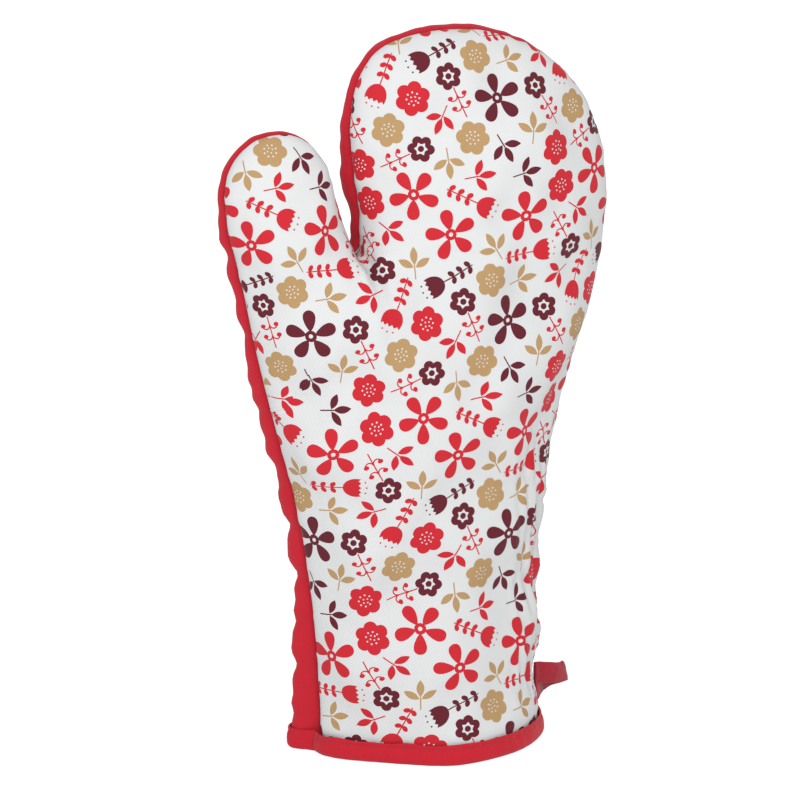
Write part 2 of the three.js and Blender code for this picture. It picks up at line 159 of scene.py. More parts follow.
# ---------------------------------------------------------------- the seam outline and the panel grid
def seam_outline():
    left, right = CUFF_CENTRE - CUFF_WIDTH / 2, CUFF_RIGHT
    wrist = CROTCH[1] * 0.473
    wide = THUMB_TOP - 27
    thumb_right = THUMB_LEFT + THUMB_WIDTH
    hand_wide = lerp(CROTCH[1], LENGTH, 0.11)
    top = lerp(HAND_LEFT, HAND_RIGHT, 0.34)
    nl, nr, nz = CROTCH[0] - 2.2, CROTCH[0] + 1.4, CROTCH[1] + 4
    return dict(
        wrist_left=joined(
            bezier((left, 0), (left, 35), (WRIST_LEFT + 6, wrist - 27), (WRIST_LEFT, wrist)),
            bezier((WRIST_LEFT, wrist), (WRIST_LEFT - 11, wrist + 48), (THUMB_LEFT, wide - 34), (THUMB_LEFT, wide))),
        thumb_tip=joined(
            bezier((THUMB_LEFT, wide), (THUMB_LEFT, THUMB_TOP - 11), (THUMB_LEFT + 8, THUMB_TOP),
                   (THUMB_LEFT + 21, THUMB_TOP)),
            bezier((THUMB_LEFT + 21, THUMB_TOP), (THUMB_LEFT + 35, THUMB_TOP), (thumb_right - 3.5, THUMB_TOP - 10),
                   (thumb_right, THUMB_TOP - 23))),
        thumb_inner=bezier((thumb_right, THUMB_TOP - 23), (thumb_right + 3, THUMB_TOP - 33), (nl - 3, nz + 8),
                           (nl, nz)),
        notch=bezier((nl, nz), (nl + 1.4, CROTCH[1] - 1), (nr - 0.6, CROTCH[1] - 1), (nr, nz)),
        finger_left=bezier((nr, nz), (nr + 0.6, nz + 16), (HAND_LEFT, LENGTH - 59), (HAND_LEFT, LENGTH - 42)),
        finger_top=joined(
            bezier((HAND_LEFT, LENGTH - 42), (HAND_LEFT, LENGTH - 12), (top - 30, LENGTH), (top, LENGTH)),
            bezier((top, LENGTH), (top + 45, LENGTH), (HAND_RIGHT, hand_wide + 49), (HAND_RIGHT, hand_wide))),
        hand_right=joined(
            bezier((HAND_RIGHT, hand_wide), (HAND_RIGHT, hand_wide - 33), (WRIST_RIGHT + 8.5, wrist + 53),
                   (WRIST_RIGHT, wrist + 20)),
            bezier((WRIST_RIGHT, wrist + 20), (WRIST_RIGHT - 8, wrist - 12), (right - 7, 40), (right, 0))))


def fill(bottom, top, left, right, u, v):
    """A Coons patch between four edges."""
    u, v = u[None, :, None], v[:, None, None]
    corners = lerp(lerp(bottom[0], bottom[-1], u), lerp(top[0], top[-1], u), v)
    return lerp(bottom[None], top[None], v) + lerp(left[:, None], right[:, None], u) - corners


class Panel:
    """One half's cut piece in the plane: a hand patch with a thumb patch joined on."""

    def __init__(self, columns, wrist_rows, root_rows, finger_rows, thumb_rows):
        o = seam_outline()
        wrist, thumb_side = split(o["wrist_left"], 0.62)
        left_tip, rest = split(o["thumb_tip"], 0.25)
        tip, right_tip = split(rest, 0.67)
        notch_left, notch_right = split(o["notch"], 0.5)
        finger_left_top, rest = split(o["finger_top"], 0.22)
        finger_top, finger_right_top = split(rest, 0.62)
        thumb_outer = joined(thumb_side, left_tip)
        thumb_inner = joined(right_tip, o["thumb_inner"], notch_left)[::-1]
        finger_left = joined(notch_right, o["finger_left"], finger_left_top)
        hand_right = joined(finger_right_top, o["hand_right"])[::-1]
        root = np.array([thumb_outer[0], finger_left[0]])
        across = graded(columns)
        root_at = graded(root_rows, 0.7, 0.8)
        left = joined(spaced(wrist, graded(wrist_rows, 0.5, 0.4)), spaced(root, root_at),
                      spaced(finger_left, graded(finger_rows, 0.7, 0.5)))
        up = lengths(left) / lengths(left)[-1]
        cuff = spaced(np.array([left[0], hand_right[0]]), across)
        hand = fill(cuff, spaced(finger_top, across), left, spaced(hand_right, up), across, up)
        thumb_up = graded(thumb_rows, 0.75, 0.85)
        thumb = fill(spaced(root, root_at), spaced(tip, root_at), spaced(thumb_outer, thumb_up),
                     spaced(thumb_inner, thumb_up), root_at, thumb_up)
        ids = np.arange(hand.shape[0] * hand.shape[1]).reshape(hand.shape[:2])
        n = ids.size
        extra = np.arange(n, n + thumb_rows * (root_rows + 1)).reshape(thumb_rows, -1)
        thumb_ids = np.vstack([ids[wrist_rows:wrist_rows + root_rows + 1, 0], extra])
        self.p = np.vstack([hand.reshape(-1, 2), thumb[1:].reshape(-1, 2)])
        self.quads = np.vstack([np.stack([g[:-1, :-1], g[:-1, 1:], g[1:, 1:], g[1:, :-1]], -1).reshape(-1, 4)
                                for g in (ids, thumb_ids)])
        self.ids, self.thumb_ids = ids, thumb_ids
        self.cuff = ids[0]
        self.seam = np.r_[ids[:, -1], ids[-1, ::-1][1:], ids[wrist_rows + root_rows:-1, 0][::-1],
                          thumb_ids[1:, -1], thumb_ids[-1, ::-1][1:], thumb_ids[1:-1, 0][::-1],
                          ids[:wrist_rows + 1, 0][::-1]]
        self.edge = np.r_[self.seam, self.cuff[1:-1]]
        self._relax(12)
        self._inflate()
        self._seam_frame()

    def links(self):
        q = self.quads
        e = np.vstack([q[:, [0, 1]], q[:, [1, 2]], q[:, [2, 3]], q[:, [3, 0]]])
        e.sort(axis=1)
        return np.unique(e, axis=0)

    def _relax(self, rounds):
        e, n = self.links(), len(self.p)
        fixed = np.zeros(n, bool)
        fixed[self.edge] = True
        degree = np.bincount(e.ravel(), minlength=n)
        for _ in range(rounds):
            mean = np.stack([(np.bincount(e[:, 0], self.p[e[:, 1], k], n)
                              + np.bincount(e[:, 1], self.p[e[:, 0], k], n)) / degree for k in range(2)], 1)
            self.p = np.where(fixed[:, None], self.p, lerp(self.p, mean, 0.4))

    def _inflate(self):
        """The squared depth is the deflection of a membrane fixed along the seam and free at the cuff."""
        p, n = self.p, len(self.p)
        t = np.vstack([self.quads[:, [0, 1, 2]], self.quads[:, [0, 2, 3]]])
        corner = p[t]
        a, b, c = corner[:, 0], corner[:, 1], corner[:, 2]
        twice = (b[:, 0] - a[:, 0]) * (c[:, 1] - a[:, 1]) - (b[:, 1] - a[:, 1]) * (c[:, 0] - a[:, 0])
        area = np.abs(twice) / 2
        slopes = np.stack([np.stack([(q[:, 1] - r[:, 1]), (r[:, 0] - q[:, 0])], 1) / twice[:, None]
                           for q, r in ((b, c), (c, a), (a, b))], 1)
        source = (2 * fullness(p) ** 2)[t].mean(1) * area / 3
        load = sum(np.bincount(t[:, i], source, n) for i in range(3))
        free = np.ones(n, bool)
        free[self.seam] = False
        diagonal = sum(np.bincount(t[:, i], (slopes[:, i] ** 2).sum(1) * area, n) for i in range(3))

        def stiffness(x):
            g = (slopes * x[t][..., None]).sum(1) * area[:, None]
            return sum(np.bincount(t[:, i], (slopes[:, i] * g).sum(1), n) for i in range(3))

        x = np.zeros(n)
        r = np.where(free, load, 0)
        z = r / diagonal
        d, rz = z.copy(), (r * z).sum()
        for _ in range(3000):
            kd = np.where(free, stiffness(d), 0)
            step = rz / (d * kd).sum()
            x += step * d
            r -= step * kd
            z = r / diagonal
            old, rz = rz, (r * z).sum()
            if abs(rz) < 1e-12 * abs((load * load / diagonal).sum()):
                break
            d = z + rz / old * d
        g = (slopes * x[t][..., None]).sum(1) * area[:, None]
        weight = sum(np.bincount(t[:, i], area, n) for i in range(3))
        self.slope = np.stack([sum(np.bincount(t[:, i], g[:, k], n) for i in range(3)) for k in range(2)], 1)
        self.slope /= weight[:, None]
        self.deflection = np.maximum(x, 0)
        s = self.seam
        along = p[np.r_[s[1:], s[-1]]] - p[np.r_[s[0], s[:-1]]]
        size = np.linalg.norm(self.slope[s], axis=1) / np.linalg.norm(along, axis=1)
        self.slope[s] = np.stack([-along[:, 1], along[:, 0]], 1) * size[:, None]

    def _seam_frame(self):
        """Distance to the seam, and how far along the seam the nearest point is."""
        s = self.p[self.seam][::2]
        ab = s[1:] - s[:-1]
        at = lengths(s)
        self.distance, self.along = np.zeros(len(self.p)), np.zeros(len(self.p))
        for i in range(0, len(self.p), 2000):
            p = self.p[i:i + 2000, None]
            t = np.clip(((p - s[:-1]) * ab).sum(2) / (ab ** 2).sum(1), 0, 1)
            d = np.linalg.norm(p - s[:-1] - ab * t[..., None], axis=2)
            k = d.argmin(1)
            row = np.arange(len(k))
            self.distance[i:i + 2000] = d[row, k]
            self.along[i:i + 2000] = at[k] + t[row, k] * np.linalg.norm(ab, axis=1)[k]


def in_thumb(p):
    return smooth(2, 32, CROTCH[0] - p[:, 0]) * smooth(CROTCH[1] - 84, CROTCH[1] - 9, p[:, 1])


def fullness(p):
    hand = lerp(0.58, 0.5, smooth(120, 220, p[:, 1]))
    tip = lerp(hand, 0.6, smooth(LENGTH - 80, LENGTH - 10, p[:, 1]))
    return lerp(tip, 0.74, in_thumb(p))


def fullness_scale(side, p):
    low = 1 - smooth(0, 85, p[:, 1])
    towards_thumb = smooth(0, 0.85, 2 * (CUFF_CENTRE - p[:, 0]) / CUFF_WIDTH)
    flat = 1 - 0.3 * towards_thumb * low if side < 0 else 1
    return lerp(1, (0.8 if side < 0 else 0.59) / 0.58, low) * flat


def puff(side, panel):
    if side < 0:
        return np.zeros(len(panel.p))
    x, z = panel.p.T
    low = (1 - smooth(0, 110, z)) * smooth(0, 40, CUFF_CENTRE - x)
    by_loop = (1 - smooth(35, 110, z)) * smooth(0, 40, x - CUFF_CENTRE)
    crotch = smooth(4, 32, np.hypot(x - CROTCH[0], z - CROTCH[1]))
    thumb = 1 - 0.3 * in_thumb(panel.p)
    tips = 1 - 0.95 * smooth(LENGTH - 85, LENGTH - 8, z)
    tips *= 1 - 0.8 * in_thumb(panel.p) * smooth(THUMB_TOP - 60, THUMB_TOP - 5, z)
    d = panel.distance
    swell = (1 - np.exp(-d)) * np.exp(-d / lerp(12, 17, low))
    return lerp(lerp(5.4, 13, low), 1.5, by_loop) * crotch * thumb * tips * swell


def growth(panel):
    """How far the filled tips and the wrist's outer side push the seam outwards."""
    x, z = panel.p.T
    tips = smooth(LENGTH - 95, LENGTH - 30, z) + in_thumb(panel.p) * smooth(THUMB_TOP - 70, THUMB_TOP - 20, z)
    wrist = smooth(10, 40, x) * smooth(28, 50, z) * (1 - smooth(110, 150, z))
    return (2.3 * tips + 1.7 * wrist) * np.exp(-panel.distance / 16)


class Skin:
    """One half's smooth outer surface, its normals and coordinates for wrinkles."""

    def __init__(self, panel, side):
        self.panel, self.side = panel, side
        x, z = panel.p.T
        scale = fullness_scale(side, panel.p)
        height = np.sqrt(panel.deflection)
        on_cuff = z < 1e-6
        gz = np.where(on_cuff, 0, -panel.slope[:, 1])
        normal = unit(np.stack([-panel.slope[:, 0], 2 * side * height / scale, gz], 1))
        outward = unit(np.stack([-panel.slope[:, 0], np.zeros_like(x), gz], 1))
        base = np.stack([x, side * scale * height, z], 1)
        base += outward * (puff(side, panel) + growth(panel))[:, None]
        self.base, self.normal, self.outward = base + SHIFT, normal, outward
        self.from_seam = np.hypot(panel.distance, scale * height)

    def at(self, depth):
        return self.base - self.normal * np.broadcast_to(depth, len(self.base))[:, None]


# ---------------------------------------------------------------- wrinkles, as depth below the smooth surface
seam_fine, seam_coarse = Waves(8, dims=2), Waves(21, dims=2)
swell_wide, swell_small = Waves(62), Waves(27)
back_wide, back_small, back_ripple = Waves(48), Waves(22), Waves(13)
cuff_ripple, side_pleats = Waves(13), Waves(12)


def crease(p, start, end, width, depth):
    """A straight fold from start, where it is deepest, fading out at end."""
    start, end = np.array(start), np.array(end)
    d = end - start
    t = ((p - start) @ d) / (d @ d)
    off = np.linalg.norm(p - start - np.clip(t, 0, 1)[:, None] * d, axis=1)
    fade = np.clip(1 - t, 0, 1) ** 0.8 * smooth(-0.08, 0.05, t)
    return depth * fade * (np.exp(-(off / width) ** 2) - 0.35 * np.exp(-((off - 2.1 * width) / width) ** 2))


# thumb-side pinches of the back panel: height up the seam, width, depth and how far they reach
PINCHES = ((37, 4.2, 2.2, 30), (57, 3.6, 1.0, 18), (79, 4.0, 2.5, 34), (101, 4.0, 1.3, 22), (127, 4.4, 1.7, 24),
           (158, 4.0, 1.2, 18), (191, 4.6, 1.5, 20), (226, 4.2, 1.1, 16), (16, 2.6, 1.0, 22))


def wrinkles(skin):
    panel, side = skin.panel, skin.side
    p, q = panel.p, skin.from_seam
    x, z = p.T
    a = panel.along
    edge = np.exp(-q / 1.7)
    pucker = (0.30 * seam_fine(a, q * 0.25) + 0.42 * seam_coarse(a, q * 0.2)) * np.exp(-q / 8) * (q / (q + 1.5))
    inner = smooth(3, 22, q) * smooth(6, 26, z)
    hem = 0.7 * np.exp(-(np.maximum(z - 8, 0) / 3.5) ** 2) * (z < 60)
    hem = hem + 0.35 * cuff_ripple(x + 60, z * 0.3) * np.exp(-np.maximum(z - 9, 0) / 9) * smooth(9, 13, z)
    c = np.array(CROTCH)
    if side < 0:
        low_side = smooth(28, 44, x) * smooth(12, 26, z) * (1 - smooth(110, 160, z))
        depth = 2.0 * edge + (0.8 + 1.3 * low_side) * pucker + hem
        depth += inner * (1.15 * swell_wide(x, z) + 0.5 * swell_small(x, z * 0.7))
        depth += 0.8 * low_side * smooth(1, 5, q) * side_pleats(q * 1.5, z * 0.45)
        depth += crease(p, c + (0.5, 0), c + (8, -40), 2.5, 3.5)
        depth += crease(p, c + (-2, -1), c + (-21, -13), 2.6, 1.0)
        depth += crease(p, c + (3, 3), c + (19, 8), 2.4, 0.9)
        depth += crease(p, (HAND_LEFT + 66, 74), (HAND_LEFT + 96, 62), 4.0, 0.8)
        return depth
    depth = 2.0 * edge + 0.75 * pucker + hem
    depth += inner * (0.9 * back_wide(x, z) + 0.45 * back_small(x * 0.6, z))
    depth += 0.45 * back_ripple(x * 0.25, z) * np.exp(-q / 30) * smooth(2, 9, q)
    thumb_side = smooth(10, -25, x)
    for height, width, size, reach in PINCHES:
        line = np.exp(-((z - height - 0.10 * q) / width) ** 2) - 0.4 * np.exp(-((z - height - 2.3 * width) / width) ** 2)
        depth += size * line * np.exp(-(q / reach) ** 2) * smooth(0.5, 4, q) * thumb_side
    depth += crease(p, c + (0, -1), c + (3, -30), 2.6, 2.6)
    return depth


# ---------------------------------------------------------------- meshes
def layer_stack(z):
    """Depths of the inside of the shell, wadding and lining below the outer surface."""
    wadding = lerp(WADDING_AT_HEM, WADDING, smooth(6, 34, z))
    return SHELL + LAYER_GAP, SHELL + LAYER_GAP + wadding


def raise_hem(v, hem=1.4, blend=15.0):
    low = v[:, 2] < blend
    v[low, 2] += hem * (1 - np.maximum(v[low, 2], 0) / blend)
    return v


def flatten(skin, rounds=500):
    """The panel's cut pattern: plane coordinates whose edge lengths are those of the surface."""
    q = skin.panel.quads
    e = np.vstack([skin.panel.links(), q[:, [0, 2]], q[:, [1, 3]]])
    rest = np.linalg.norm(skin.base[e[:, 0]] - skin.base[e[:, 1]], axis=1)
    flat, n = skin.panel.p.copy(), len(skin.panel.p)
    weight = 1 / rest
    total = np.bincount(e[:, 0], weight, n) + np.bincount(e[:, 1], weight, n)
    speed = np.zeros_like(flat)
    for _ in range(rounds):
        d = flat[e[:, 1]] - flat[e[:, 0]]
        now = np.maximum(np.linalg.norm(d, axis=1), 1e-9)
        pull = d * (0.5 * (1 - rest / now) * weight)[:, None]
        move = np.stack([np.bincount(e[:, 0], pull[:, k], n) - np.bincount(e[:, 1], pull[:, k], n)
                         for k in range(2)], 1)
        speed = 0.9 * speed + 1.2 * move / total[:, None]
        flat += speed
    return flat


def new_object(name, vertices_mm, faces, material, smooth_faces=True):
    mesh = bpy.data.meshes.new(name)
    mesh.from_pydata((np.asarray(vertices_mm) * MM).tolist(), [], [tuple(f) for f in faces])
    mesh.polygons.foreach_set("use_smooth", [smooth_faces] * len(mesh.polygons))
    mesh.materials.append(material)
    mesh.update()
    obj = bpy.data.objects.new(name, mesh)
    bpy.context.scene.collection.objects.link(obj)
    return obj


def set_uv(obj, name, per_loop):
    layer = obj.data.uv_layers.new(name=name)
    layer.data.foreach_set("uv", np.asarray(per_loop, np.float32).ravel())


def slab(name, skin, outer, inner, material, flat):
    """A closed cloth layer between two surfaces of the same grid, with its pattern and bake maps."""
    panel = skin.panel
    n = len(panel.p)
    q = panel.quads
    front, back = (q, q[:, ::-1] + n) if skin.side < 0 else (q[:, ::-1], q + n)
    e = panel.edge
    f = np.r_[e[1:], e[:1]]
    rim = np.stack([f, e, e + n, f + n], 1) if skin.side < 0 else np.stack([e, f, f + n, e + n], 1)
    faces = np.vstack([front, back, rim])
    obj = new_object(name, raise_hem(np.vstack([outer, inner])), faces.tolist(), material)
    pattern = np.vstack([flat, flat])[faces.ravel()]
    set_uv(obj, "cut", pattern * MM)
    low = flat.min(0)
    size = (flat.max(0) - low).max()
    outer_uv = (flat - low) / size * 0.96 + 0.01
    inner_uv = (flat - low) / size * 0.36 + (0.62, 0.02)
    bake = np.vstack([outer_uv, inner_uv])[faces.ravel()].reshape(-1, 4, 2)
    at = np.linspace(0.42, 0.98, len(e) + 1)
    rim_uv = np.stack([np.stack([np.full(len(e), 0.9), at[1:]], 1), np.stack([np.full(len(e), 0.9), at[:-1]], 1),
                       np.stack([np.full(len(e), 0.92), at[:-1]], 1), np.stack([np.full(len(e), 0.92), at[1:]], 1)], 1)
    if skin.side > 0:
        rim_uv = rim_uv[:, [1, 0, 3, 2]]
    bake[-len(e):] = rim_uv
    set_uv(obj, "OFBake", bake.reshape(-1, 2))
    return obj


def tube_of(rings, closed_ends=True):
    """Vertices, quads and end caps for rings of the same count."""
    rings = np.asarray(rings)
    s, n = rings.shape[:2]
    ids = np.arange(s * n).reshape(s, n)
    nxt = np.roll(ids, -1, 1)
    quads = np.stack([ids[:-1], nxt[:-1], nxt[1:], ids[1:]], -1).reshape(-1, 4).tolist()
    if closed_ends:
        quads += [ids[0, ::-1].tolist(), ids[-1].tolist()]
    return rings.reshape(-1, 3), quads


# ---------------------------------------------------------------- shaders
class Value:
    """A number in a shader, so that formulas can be written plainly."""

    def __init__(self, shader, socket):
        self.shader, self.socket = shader, socket

    def __add__(self, other):
        return self.shader.math("ADD", self, other)

    def __sub__(self, other):
        return self.shader.math("SUBTRACT", self, other)

    def __rsub__(self, other):
        return self.shader.math("SUBTRACT", other, self)

    def __mul__(self, other):
        return self.shader.math("MULTIPLY", self, other)

    def __truediv__(self, other):
        return self.shader.math("DIVIDE", self, other)

    def __abs__(self):
        return self.shader.math("ABSOLUTE", self)

    def __lt__(self, other):
        return self.shader.math("LESS_THAN", self, other)

    def __gt__(self, other):
        return self.shader.math("GREATER_THAN", self, other)

    def __or__(self, other):
        return self.shader.math("MAXIMUM", self, other)

    __radd__, __rmul__, __and__ = __add__, __mul__, __mul__


def square(v):
    return v * v


def linear(r, g, b, gain=1.0):
    """A colour given as it looks on a screen, 0 to 255."""
    c = np.array([r, g, b]) / 255
    c = np.where(c <= 0.04045, c / 12.92, ((c + 0.055) / 1.055) ** 2.4) * gain
    return (*c.tolist(), 1.0)


class Shader:
    """A Principled material and short ways to add nodes to it."""

    def __init__(self, name, roughness=0.85, sheen=0.15, specular=0.3):
        self.material = bpy.data.materials.new(name)
        self.material.use_nodes = True
        self.tree = self.material.node_tree
        self.surface = self.tree.nodes["Principled BSDF"]
        self.surface.inputs["Roughness"].default_value = roughness
        self.surface.inputs["Sheen Weight"].default_value = sheen
        self.surface.inputs["Sheen Roughness"].default_value = 0.5
        self.surface.inputs["Specular IOR Level"].default_value = specular

    def put(self, socket, value):
        value = value.socket if isinstance(value, Value) else value
        if isinstance(value, bpy.types.NodeSocket):
            self.tree.links.new(value, socket)
        elif value is not None:
            socket.default_value = value

    def node(self, kind, *inputs, **settings):
        made = self.tree.nodes.new(kind)
        for key, value in settings.items():
            setattr(made, key, value)
        for socket, value in zip(made.inputs, inputs):
            self.put(socket, value)
        return made

    def math(self, operation, *values):
        return Value(self, self.node("ShaderNodeMath", *values, operation=operation).outputs[0])

    def vector(self, operation, *values):
        return self.node("ShaderNodeVectorMath", *values, operation=operation).outputs[0]

    def length(self, v):
        return Value(self, self.node("ShaderNodeVectorMath", v, operation="LENGTH").outputs["Value"])

    def xyz(self, v):
        return [Value(self, out) for out in self.node("ShaderNodeSeparateXYZ", v).outputs]

    def mix_vector(self, factor, a, b):
        made = self.node("ShaderNodeMix", factor, data_type="VECTOR")
        self.put(made.inputs[4], a)
        self.put(made.inputs[5], b)
        return made.outputs[1]

    def mix(self, factor, a, b):
        made = self.node("ShaderNodeMix", factor, data_type="RGBA")
        self.put(made.inputs[6], a)
        self.put(made.inputs[7], b)
        return made.outputs[2]

    def folded(self, x, y, times):
        """Radius, and x and y turned into the first of so many equal sectors."""
        r = self.math("SQRT", square(x) + square(y))
        a = self.math("WRAP", self.math("ARCTAN2", y, x), math.pi / times, -math.pi / times)
        return r, r * self.math("COSINE", a), r * self.math("SINE", a)

    def noise(self, where, size_mm, detail=2.0, roughness=0.5):
        made = self.node("ShaderNodeTexNoise", noise_dimensions="3D")
        self.put(made.inputs["Vector"], where)
        made.inputs["Scale"].default_value = 1 / size_mm
        made.inputs["Detail"].default_value = detail
        made.inputs["Roughness"].default_value = roughness
        return Value(self, made.outputs[0])

    def on_pattern(self):
        """Position on the flat cut piece, mm."""
        return self.vector("MULTIPLY", self.node("ShaderNodeUVMap", uv_map="cut").outputs[0], (1000, 1000, 0))

    def in_space(self):
        """Position in the piece's own space, mm."""
        return self.vector("MULTIPLY", self.node("ShaderNodeTexCoord").outputs["Object"], (1000, 1000, 1000))

    def bump(self, height, distance_mm, strength=1.0):
        made = self.node("ShaderNodeBump")
        made.inputs["Strength"].default_value = strength
        made.inputs["Distance"].default_value = distance_mm * MM
        self.put(made.inputs["Height"], height)
        self.put(self.surface.inputs["Normal"], made.outputs[0])

    def done(self, colour):
        self.put(self.surface.inputs["Base Color"], colour)
        return self.material


EXPOSED = 0.535  # what brings a colour as seen in studio light back to the cloth's own
WHITE = linear(236, 237, 236, EXPOSED)
RED, MAROON, TAN = linear(212, 26, 42, EXPOSED), linear(98, 16, 34, EXPOSED), linear(184, 140, 82, EXPOSED)
COTTON_RED, COTTON_DEEP = linear(220, 34, 54, EXPOSED), linear(200, 22, 42, EXPOSED)
BINDING_RED, TAPE_RED = linear(220, 32, 52, EXPOSED), linear(194, 36, 58, EXPOSED)

TILE = (88.0, 97.0)  # the print repeats after this much cloth
MOTIF_SCALE = 1.13
RED_INK, MAROON_INK, TAN_INK = 0.0, -2 * math.pi, 2 * math.pi
MOTIFS = {  # number in a tile, colours, discs it fills and those that keep its own kind apart: (height, radius)
    "daisy": ((RED_INK, RED_INK, RED_INK, MAROON_INK), ((0, 9.8),), ((0, 10.5),)),
    "ring": ((MAROON_INK,) * 4, ((0, 5.4), (-8.5, 3.5), (-13.5, 3.4)), ((0, 5.6), (-11, 7.0))),
    "tulip": ((RED_INK, RED_INK, RED_INK, MAROON_INK), ((0.6, 5.4), (-8.5, 3.2), (-13.5, 3.2)),
              ((1, 7.0), (-10.5, 7.2))),
    "blossom": ((RED_INK, TAN_INK) * 3, ((0, 6.9),), ((0, 7.0),)),
    "sprig": ((TAN_INK, RED_INK, MAROON_INK, TAN_INK, RED_INK, TAN_INK, RED_INK, TAN_INK, MAROON_INK, TAN_INK, RED_INK),
              ((2.4, 5.5), (-3, 1.3)), ((1.5, 6.6),)),
}


def scatter(draw):
    """Places for the motifs in one tile, pushed apart from random ones: kind to [x, y, turn, ink]."""
    tile = np.array(TILE)
    motifs = [(kind, ink) for kind, (inks, _, _) in MOTIFS.items() for ink in inks]
    owner, height, radius, rule = [], [], [], []
    for i, (kind, _) in enumerate(motifs):
        for own, discs in enumerate(MOTIFS[kind][1:]):
            for j, (y, r) in enumerate(discs):
                owner.append(i)
                height.append(y * MOTIF_SCALE)
                radius.append(r * MOTIF_SCALE)
                rule.append((kind, j) if own else None)
    pairs = [(i, j) for i in range(len(owner)) for j in range(i) if owner[i] != owner[j] and rule[i] == rule[j]]
    owner, height, radius = np.array(owner), np.array(height), np.array(radius)
    a, b = np.array(pairs).T
    count = len(motifs)
    at, turn = draw.uniform(0, 1, (count, 2)) * tile, draw.uniform(0, 2 * math.pi, count)
    for step in range(3000):
        margin = np.where([r is None for r in rule], 1.3, 0)[a] * max(0, 1 - step / 700)
        arm = np.stack([-np.sin(turn[owner]), np.cos(turn[owner])], 1) * height[:, None]
        gap = (at[owner] + arm)[a] - (at[owner] + arm)[b]
        gap -= tile * np.round(gap / tile)
        apart = np.linalg.norm(gap, axis=1)
        short = np.maximum(radius[a] + radius[b] + 2 * margin - apart, 0)
        if step > 700 and short.max() < 0.1:
            break
        push = gap * (0.2 * short / np.maximum(apart, 1e-6))[:, None]
        for disc, sign in ((a, 1), (b, -1)):
            for k in range(2):
                at[:, k] += sign * np.bincount(owner[disc], push[:, k], count)
            twist = arm[disc, 0] * push[:, 1] - arm[disc, 1] * push[:, 0]
            turn += sign * np.bincount(owner[disc], twist, count) / 80
    places = {kind: [] for kind in MOTIFS}
    for (kind, ink), (x, y), t in zip(motifs, at % tile, turn % (2 * math.pi)):
        places[kind].append((x, y, t, ink))
    return places


